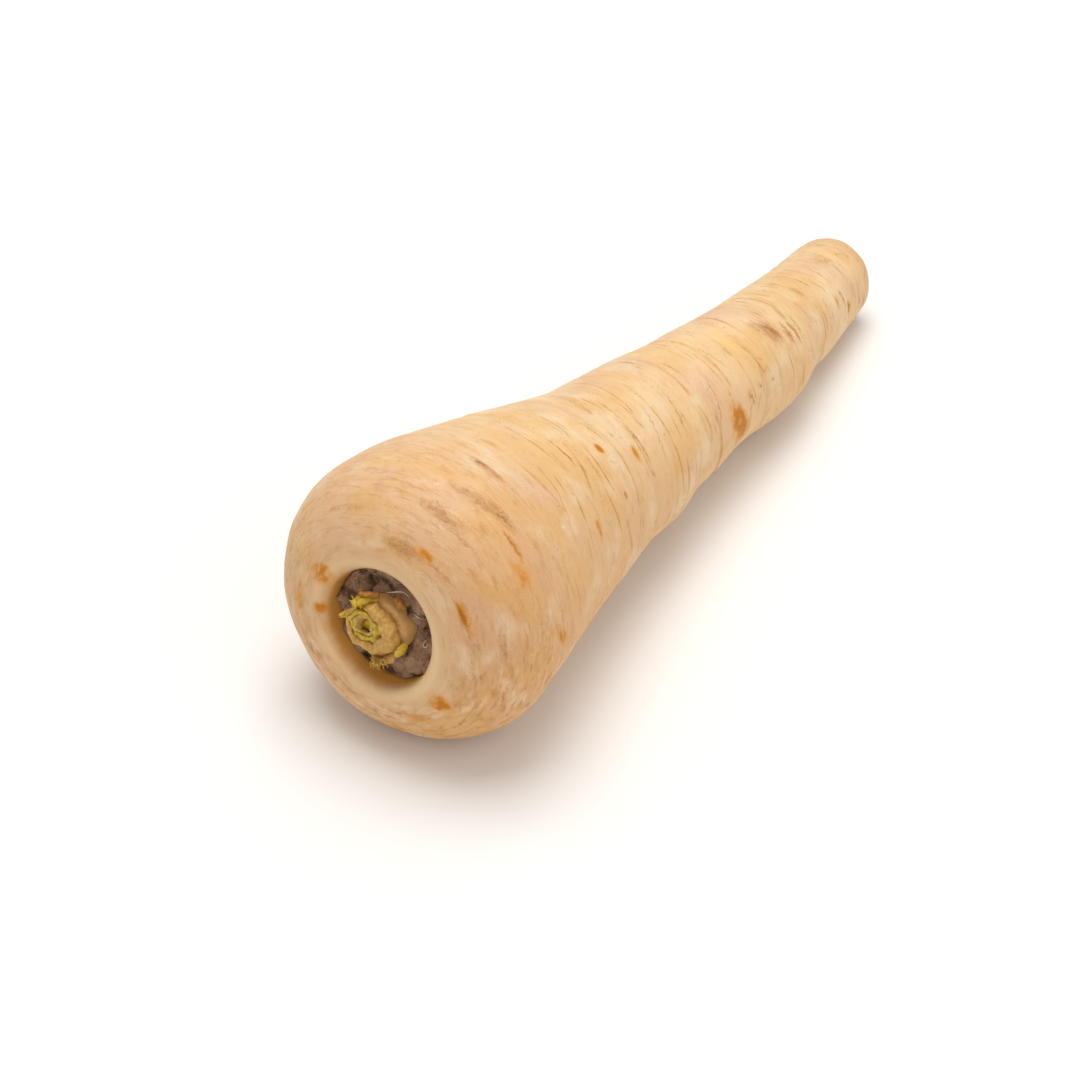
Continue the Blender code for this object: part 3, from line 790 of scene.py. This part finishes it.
def soil_tree():
    """Breaks the packed soil's surface into clods and grains, and scatters crumbs on it."""
    sizes = {"Levels": 3, "Clod size": 4.2 * MM, "Clod height": 1.6 * MM, "Grain height": 0.3 * MM}
    crumbs = {"Crumb density": 0.9 / MM**2, "Crumb radius": 0.3 * MM, "Seed": 5}
    tree, given = new_tree("Dried soil", sizes | crumbs)
    fine = add(tree, "GeometryNodeSubdivideMesh", [given["Geometry"], given["Levels"]])
    facing = add(tree, "ShaderNodeSeparateXYZ", [add(tree, "GeometryNodeInputNormal")]).outputs["X"]
    top = add(tree, "FunctionNodeCompare", [facing, -0.35], operation="LESS_THAN")
    # Clods are rounded cells, each at its own height, with pits where they meet.
    where = add(tree, "GeometryNodeInputPosition")
    shake = add(tree, NOISE, {"Vector": where, "Scale": 350.0, "Detail": 4.0})
    shake = [shake.outputs["Color"], (4 * MM,) * 3, where]
    shaken = add(tree, VECTOR_MATH, shake, operation="MULTIPLY_ADD")
    scale = add(tree, MATH, [1.0, given["Clod size"]], operation="DIVIDE")
    cells = {"Vector": shaken, "Scale": scale, "Smoothness": 0.35}
    cells = add(tree, "ShaderNodeTexVoronoi", cells, feature="SMOOTH_F1")
    dome = add(tree, MAP_RANGE, {"Value": cells, "From Min": 0.75, "From Max": 0.25}, **SMOOTH)
    cloud = add(tree, NOISE, {"Vector": where, "Scale": scale, "Detail": 3.0})
    clods = add(tree, MATH, [dome, 0.6, cloud], operation="MULTIPLY_ADD")
    level = times(tree, add(tree, MATH, [clods, 0.85], operation="SUBTRACT"), given["Clod height"])
    grain = {"Vector": where, "Scale": 1800.0, "Detail": 5.0, "Roughness": 0.7}
    height = ruffled(tree, grain, given["Grain height"], level)
    lumps = {"Geometry": pushed(tree, fine, height, chosen=top), "Name": "clod", "Value": clods}
    lumps = add(tree, "GeometryNodeStoreNamedAttribute", lumps)
    spots = {"Mesh": lumps, "Selection": top, "Density": given["Crumb density"], "Seed": given["Seed"]}
    spots = add(tree, "GeometryNodeDistributePointsOnFaces", spots)
    crumb = add(tree, "GeometryNodeMeshIcoSphere", [given["Crumb radius"], 1])
    turns = {"Max": (6.28,) * 3, "Seed": given["Seed"]}
    turns = add(tree, "FunctionNodeRandomValue", turns, data_type="FLOAT_VECTOR")
    sizes = (0.3, 0.3, 0.3), (1.0, 0.8, 0.9)
    crumbled = strewn(tree, lumps, spots, crumb, turns, sizes, given["Seed"])
    return end_tree(tree, crumbled, given["Material"])


def tissue_material(name, fresh, inner, dry):
    """Cut leaf base: moist spongy tissue with fibres along it, with dry brown patches and darker brown
    towards its foot.
    """
    material, tree, shader = new_material(name)
    place = object_place(tree)
    rim = add(tree, "ShaderNodeAttribute", attribute_name="rim").outputs["Fac"]
    foot = add(tree, MATH, [1.0, rim], operation="SUBTRACT")
    clouds = (
        ((4.0, 0.7), 0.45, 0.65, 3.0, 2.0, 0.6, inner),
        (1.6, 0.5, 0.7, 3.0, 5.0, 0.5, dry),
        ((3.0, 0.8), 0.35, 0.6, 3.0, 8.0, foot, 0.75, dry),
        (0.3, 0.62, 0.74, 1.0, 3.0, 0.6, "#8A6430"),
    )
    grain = add(tree, NOISE, {"Vector": place, "Scale": 4.0, "Detail": 3.0})
    relief = {"Height": grain, "Strength": 0.6, "Distance": 0.15 * MM}
    finish = {
        "Base Color": clouded(tree, place, fresh, *clouds),
        "Roughness": 0.6,
        "Subsurface Weight": 0.2,
        "Subsurface Radius": (0.8, 0.6, 0.2),
        "Subsurface Scale": 1.0 * MM,
        "Normal": add(tree, "ShaderNodeBump", relief),
    }
    fill(tree, shader, finish)
    return material


def tissue_tree():
    """Refines a cut piece of leaf: it swells a little, its sides gain fibres and its rim is torn."""
    sizes = {"Levels": 2, "Swell": 0.1 * MM, "Fibre width": 0.5 * MM, "Fibre height": 0.15 * MM}
    torn_sizes = {"Tear": 0.4 * MM, "Lump shift": 2.2 * MM, "Fringe length": 1.4 * MM}
    fringe = {"Fringe density": 0.0, "Seed": 3}
    tree, given = new_tree("Cut leaf tissue", sizes | torn_sizes | fringe)
    fine = add(tree, "GeometryNodeSubdivisionSurface", [given["Geometry"], given["Levels"]])
    # Fibres run along the stub, so their pattern is drawn out along X.
    scale = add(tree, MATH, [1.0, given["Fibre width"]], operation="DIVIDE")
    where = add(tree, "GeometryNodeInputPosition")
    drawn = add(tree, VECTOR_MATH, [where, (0.25, 1, 1)], operation="MULTIPLY")
    fibres = {"Vector": drawn, "Scale": scale, "Detail": 2.0}
    height = ruffled(tree, fibres, given["Fibre height"], given["Swell"])
    # One slow cloud shifts every piece alike, so that the rings lose their even shape together.
    slow = add(tree, NOISE, {"Vector": where, "Scale": 330.0, "Detail": 1.0})
    slow = [slow.outputs["Color"], (0.5, 0.5, 0.5)]
    slow = {0: add(tree, VECTOR_MATH, slow, operation="SUBTRACT"), "Scale": given["Lump shift"]}
    moved = pushed(tree, fine, height, add(tree, VECTOR_MATH, slow, operation="SCALE"))
    # The cut rim is pulled out and in along X, and a fringe of pointed shreds stands out from it.
    rim = add(tree, "GeometryNodeInputNamedAttribute", {"Name": "rim"}, data_type="FLOAT")
    ragged = add(tree, NOISE, {"Vector": where, "Scale": 1400.0, "Detail": 3.0})
    level = add(tree, MATH, [ragged, 0.55], operation="SUBTRACT")
    pull = add(tree, "ShaderNodeCombineXYZ", [times(tree, level, given["Tear"], rim)])
    torn = add(tree, "GeometryNodeSetPosition", {"Geometry": moved, "Offset": pull})
    edge = add(tree, "FunctionNodeCompare", [rim, 0.72], operation="GREATER_THAN")
    spots = {"Mesh": torn, "Selection": edge, "Density": given["Fringe density"], "Seed": given["Seed"]}
    spots = add(tree, "GeometryNodeDistributePointsOnFaces", spots)
    shred = {"Vertices": 5, "Radius Top": 0.02 * MM, "Radius Bottom": 0.3 * MM}
    shred = add(tree, "GeometryNodeMeshCone", {**shred, "Depth": given["Fringe length"]})
    aside = {"Min": (-0.9, -0.9, -0.5), "Max": (0.1, 0.2, 0.3), "Seed": given["Seed"]}
    aside = add(tree, "FunctionNodeRandomValue", aside, data_type="FLOAT_VECTOR")
    towards = add(tree, VECTOR_MATH, [spots.outputs["Normal"], aside])
    turned = add(tree, "FunctionNodeAlignRotationToVector", {"Vector": towards}, axis="Z")
    sizes = (0.5, 0.5, 0.35), (1.0, 1.0, 1.0)
    fringed = strewn(tree, torn, spots, shred, turned, sizes, given["Seed"])
    return end_tree(tree, fringed, given["Material"])


def describe_tissue(mesh):
    """Stores how near each corner point is to the piece's cut end: 1 there, 0 at its foot."""
    x = corners_of(mesh)[:, 0]
    mark(mesh, "rim", 1 - (x - x.min()) / (x.max() - x.min()))


def fibre_tree():
    """Makes fine tapering fibres along curves."""
    tree, given = new_tree("Fibres", {"Radius": 0.08 * MM})
    even = add(tree, "GeometryNodeResampleCurve", {"Curve": given["Geometry"], "Count": 24})
    along = add(tree, "GeometryNodeSplineParameter")
    thin = {"Value": along, "From Min": 0.6, "To Min": 1.0, "To Max": 0.35}
    radius = times(tree, add(tree, MAP_RANGE, thin), given["Radius"])
    ring = add(tree, "GeometryNodeCurvePrimitiveCircle", {"Resolution": 6, "Radius": 1.0})
    tube = {"Curve": even, "Profile Curve": ring, "Scale": radius, "Fill Caps": True}
    tube = add(tree, "GeometryNodeCurveToMesh", tube)
    return end_tree(tree, tube, given["Material"])


# ---- settings ----


def in_mm(name, description, size):
    """A setting for a size given in mm."""
    return FloatProperty(name=name, description=description, default=size * MM, unit="LENGTH")


def in_degrees(name, description, degrees):
    return FloatProperty(name=name, description=description, default=math.radians(degrees), subtype="ANGLE")


def in_watts(name, description, watts):
    return FloatProperty(name=name, description=description, default=watts, unit="POWER")


def in_hex(name, description, code):
    """A setting for a colour given as sRGB hex."""
    return FloatVectorProperty(
        name=name, description=description, default=linear(code), size=4, subtype="COLOR"
    )


class SkinSettings(bpy.types.PropertyGroup):
    ripple_height: in_mm("Ripple height", "How far the fine ripples across the skin rise and fall", 0.22)
    ripple_spacing: FloatProperty(
        name="Ripple spacing", description="Distance between ripples along the root, in mm", default=3.2
    )
    swell_height: in_mm("Swell height", "How far the broad uneven swellings rise and fall", 0.7)
    grain_depth: in_mm("Grain depth", "Depth of the finest relief, which the material adds", 0.25)
    cream: in_hex("Cream", "The skin's main colour", "#EECB9A")
    crease: in_hex("Crease", "Colour in the creases", "#B8720A")
    rust: in_hex("Rust", "Colour of the rusty marks", "#C27302")
    bruise: in_hex("Bruise", "Colour of the bruised marks", "#BB8350")
    knob: in_hex("Knob", "Colour of the stem knob", "#E4B874")


class SoilSettings(bpy.types.PropertyGroup):
    soil: in_hex("Soil", "The dried soil's main colour", "#AC896D")
    grain_height: in_mm("Grain height", "How rough the clods are", 0.4)
    crumb_radius: in_mm("Crumb radius", "Radius of the largest loose crumbs", 0.32)


class LeafSettings(bpy.types.PropertyGroup):
    swell: in_mm("Swell", "How far the moist tissue bulges", 0.2)
    tear: in_mm("Tear", "How ragged the cut rims are", 0.6)
    tan: in_hex("Tan", "Colour of the outer leaf base", "#C99B45")
    lime: in_hex("Lime", "Colour of the green leaf bases", "#D0B026")
    brown: in_hex("Brown", "Colour of the dried scraps", "#AA701C")
    fibre_radius: in_mm("Fibre radius", "Thickness of the loose fibres", 0.12)


class StageSettings(bpy.types.PropertyGroup):
    azimuth: in_degrees("Azimuth", "Way the camera looks", 34.1)
    elevation: in_degrees("Elevation", "How steeply the camera looks down", 41.16)
    distance: in_mm("Distance", "From the camera to the spot it looks at", 711)
    lens: FloatProperty(name="Lens", description="Focal length", default=100.0, unit="CAMERA")
    key: in_watts("Key light", "Power of the main light", 8.85)
    fill: in_watts("Fill light", "Power of the fill light", 2.5)
    sky: FloatProperty(name="Sky", description="Strength of the light all round", default=0.49)


# ---- operators ----


class PARSNIP_OT_skin(bpy.types.Operator):
    """Grow the root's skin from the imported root"""

    bl_idname = "parsnip.skin"
    bl_label = "Root skin"

    def execute(self, context):
        settings = context.scene.parsnip_skin
        copy = welded_copy("root")
        describe_skin(copy.data)
        values = {
            "Ripple height": settings.ripple_height,
            "Ripple spacing": settings.ripple_spacing,
            "Swell height": settings.swell_height,
            "Material": skin_material(settings),
        }
        piece = grow(copy, skin_tree(), values, "root_skin")
        for name, marks in BROAD_MARKS.items():
            marks_field(piece.data, name, marks)
        settle(piece, "skin", "root")
        return {"FINISHED"}


class PARSNIP_OT_soil(bpy.types.Operator):
    """Break up the dried soil in the crown"""

    bl_idname = "parsnip.soil"
    bl_label = "Dried soil"

    def execute(self, context):
        settings = context.scene.parsnip_soil
        values = {
            "Grain height": settings.grain_height,
            "Crumb radius": settings.crumb_radius,
            "Material": soil_material(settings),
        }
        settle(grow(welded_copy("soil"), soil_tree(), values, "soil_clods"), "soil", "soil")
        return {"FINISHED"}


class PARSNIP_OT_leaves(bpy.types.Operator):
    """Dress the cut leaf bases and the torn scraps"""

    bl_idname = "parsnip.leaves"
    bl_label = "Leaf bases"

    def execute(self, context):
        settings = context.scene.parsnip_leaves
        tree = tissue_tree()
        pale = tissue_material("Pale leaf base", settings.tan, "#E4BD76", "#B07B2C")
        green = tissue_material("Green leaf base", settings.lime, "#DDBA58", "#9A7A10")
        inner = tissue_material("Inner leaf base", "#D6B05A", "#E0BE78", "#A07C1C")
        heart = tissue_material("Leaf heart", "#CCA008", "#D8AE28", "#8A6A08")
        brown = tissue_material("Dried leaf", settings.brown, "#CA8E38", "#80501E")
        # Each piece's record slot and material, how much it swells, how ragged its rim is, and
        # its shreds for each mm2.
        dressed = (
            ("leaf_base_outer", "leaf_base_pale", pale, 1.00, 1.0, 0.0),
            ("leaf_base_middle", "leaf_base_green", green, 1.00, 1.0, 0.0),
            ("leaf_base_inner", "leaf_base_green", inner, 1.00, 1.0, 0.0),
            ("leaf_heart", "leaf_base_green", heart, 1.00, 0.3, 0.0),
            ("old_leaf_sheath", "leaf_base_pale", pale, 1.00, 3.0, 2.0),
            ("green_scrap_upper", "leaf_base_green", green, 2.25, 2.0, 0.5),
            ("green_scrap_left", "leaf_base_green", green, 1.25, 2.0, 0.5),
            ("green_scrap_lower", "leaf_base_green", green, 1.50, 2.0, 0.5),
            ("brown_scrap_upper", "leaf_brown", brown, 2.00, 2.0, 1.0),
            ("bud_scale", "leaf_brown", brown, 1.50, 0.5, 0.0),
        )
        for node, slot, material, swollen, ragged, shreds in dressed:
            copy = welded_copy(node)
            describe_tissue(copy.data)
            values = {
                "Swell": swollen * settings.swell,
                "Tear": ragged * settings.tear,
                "Fringe density": shreds / MM**2,
                "Material": material,
            }
            settle(grow(copy, tree, values, node + "_tissue"), slot, node)
        return {"FINISHED"}


class PARSNIP_OT_fibres(bpy.types.Operator):
    """Lay the loose fibres and the little curl in the crown"""

    bl_idname = "parsnip.fibres"
    bl_label = "Fibres"

    # Each fibre's points: height above the soil, sideways and up from the crown's middle, in mm.
    FIBRES = (
        ((0.3, 1.0, 7.4), (0.6, -0.8, 8.8), (0.6, -2.6, 9.9), (0.6, -3.9, 10.0), (0.4, -4.9, 8.8)),
        ((0.2, -6.2, 5.1), (0.6, -7.2, 5.0), (0.2, -8.0, 4.0)),
        ((0.2, -9.4, -0.8), (0.5, -9.0, -1.3), (0.6, -9.3, -1.9), (0.5, -10.0, -2.2), (0.3, -10.1, -1.2)),
    )

    @staticmethod
    def above_soil(height, sideways, up):
        """A place this high above the dressed soil, in metres."""
        start = crown_point(-3, sideways, up)
        inwards = (crown_point(8, sideways, up) - start).normalized()
        hit, place, _, _ = bpy.data.objects["soil_clods"].ray_cast(start, inwards)
        if not hit:
            raise RuntimeError("A fibre has no soil under it")
        return place - inwards * height * MM

    def execute(self, context):
        settings = context.scene.parsnip_leaves
        curve = bpy.data.curves.new("fibre_paths", "CURVE")
        curve.dimensions = "3D"
        for points in self.FIBRES:
            spline = curve.splines.new("NURBS")
            spline.points.add(len(points) - 1)
            spline.order_u = 3
            spline.use_endpoint_u = True
            for point, place in zip(spline.points, points):
                point.co = (*self.above_soil(*place), 1)
        material = tissue_material("Dry fibre", "#FFF8EC", "#F4E8D2", "#E6D8BE")
        values = {"Radius": settings.fibre_radius, "Material": material}
        paths = bpy.data.objects.new("fibre_paths", curve)
        settle(grow(paths, fibre_tree(), values, "fibres"), "leaf_base_pale")
        return {"FINISHED"}


class PARSNIP_OT_stage(bpy.types.Operator):
    """Set the floor, the studio lights and the camera"""

    bl_idname = "parsnip.stage"
    bl_label = "Stage"

    # The camera looks at this spot, from the foot of the crown's front, in mm.
    SPOT = Vector((78.3, 12.0, 0.0))

    def execute(self, context):
        scene = context.scene
        settings = scene.parsnip_stage
        bpy.ops.mesh.primitive_plane_add(size=8)
        floor = context.object
        floor.name = "floor"
        # Matt white paper: a dull pale sheet that takes soft shadows.
        paper, tree, shader = new_material("Matt white paper")
        fill(tree, shader, {"Base Color": "#F7F5F2", "Roughness": 0.9})
        floor.data.materials.append(paper)

        for name, power, size, place in (
            ("key_light", settings.key, 0.8, (0.10, 0.12, 1.1)),
            ("fill_light", settings.fill, 1.2, (-0.3, -0.9, 0.7)),
        ):
            lamp = bpy.data.lights.new(name, "AREA")
            lamp.energy = power
            lamp.size = size
            light = bpy.data.objects.new(name, lamp)
            light.location = place
            light.rotation_euler = (-Vector(place)).to_track_quat("-Z", "Y").to_euler()
            scene.collection.objects.link(light)
        scene.world = scene.world or bpy.data.worlds.new("studio")
        scene.world.use_nodes = True
        studio = scene.world.node_tree
        fill(studio, studio.nodes["Background"], {"Color": "#FFFFFF", "Strength": settings.sky})
        scene.view_settings.view_transform = "Standard"

        turn = Matrix.Rotation(settings.azimuth, 3, "Z") @ Matrix.Rotation(settings.elevation, 3, "Y")
        looking = turn @ Vector((1, 0, 0))
        spot = Vector((CROWN_FRONT, 0, 0)) + self.SPOT * MM
        camera = bpy.data.objects.new("camera", bpy.data.cameras.new("camera"))
        camera.data.lens = settings.lens
        camera.data.clip_start = 0.01
        camera.location = spot - looking * settings.distance
        camera.rotation_euler = looking.to_track_quat("-Z", "Y").to_euler()
        scene.collection.objects.link(camera)
        scene.camera = camera
        return {"FINISHED"}


class PARSNIP_PT_panel(bpy.types.Panel):
    """Lists the parsnip's pieces and their settings"""

    bl_idname = "PARSNIP_PT_panel"
    bl_label = "Parsnip"
    bl_space_type = "VIEW_3D"
    bl_region_type = "UI"
    bl_category = "Parsnip"

    def draw(self, context):
        for name, group in SETTINGS:
            box = self.layout.box()
            for field in group.__annotations__:
                box.prop(getattr(context.scene, name), field)
        for operator in OPERATORS:
            self.layout.operator(operator.bl_idname)


SETTINGS = (
    ("parsnip_skin", SkinSettings),
    ("parsnip_soil", SoilSettings),
    ("parsnip_leaves", LeafSettings),
    ("parsnip_stage", StageSettings),
)
OPERATORS = PARSNIP_OT_skin, PARSNIP_OT_soil, PARSNIP_OT_leaves, PARSNIP_OT_fibres, PARSNIP_OT_stage


def register():
    for name, group in SETTINGS:
        bpy.utils.register_class(group)
        setattr(bpy.types.Scene, name, PointerProperty(type=group))
    for shown in (*OPERATORS, PARSNIP_PT_panel):
        bpy.utils.register_class(shown)


def unregister():
    for shown in (PARSNIP_PT_panel, *reversed(OPERATORS)):
        bpy.utils.unregister_class(shown)
    for name, group in reversed(SETTINGS):
        delattr(bpy.types.Scene, name)
        bpy.utils.unregister_class(group)


def main():
    register()
    bpy.ops.parsnip.skin()
    bpy.ops.parsnip.soil()
    bpy.ops.parsnip.leaves()
    bpy.ops.parsnip.fibres()
    bpy.ops.parsnip.stage()


if __name__ == "__main__":
    main()
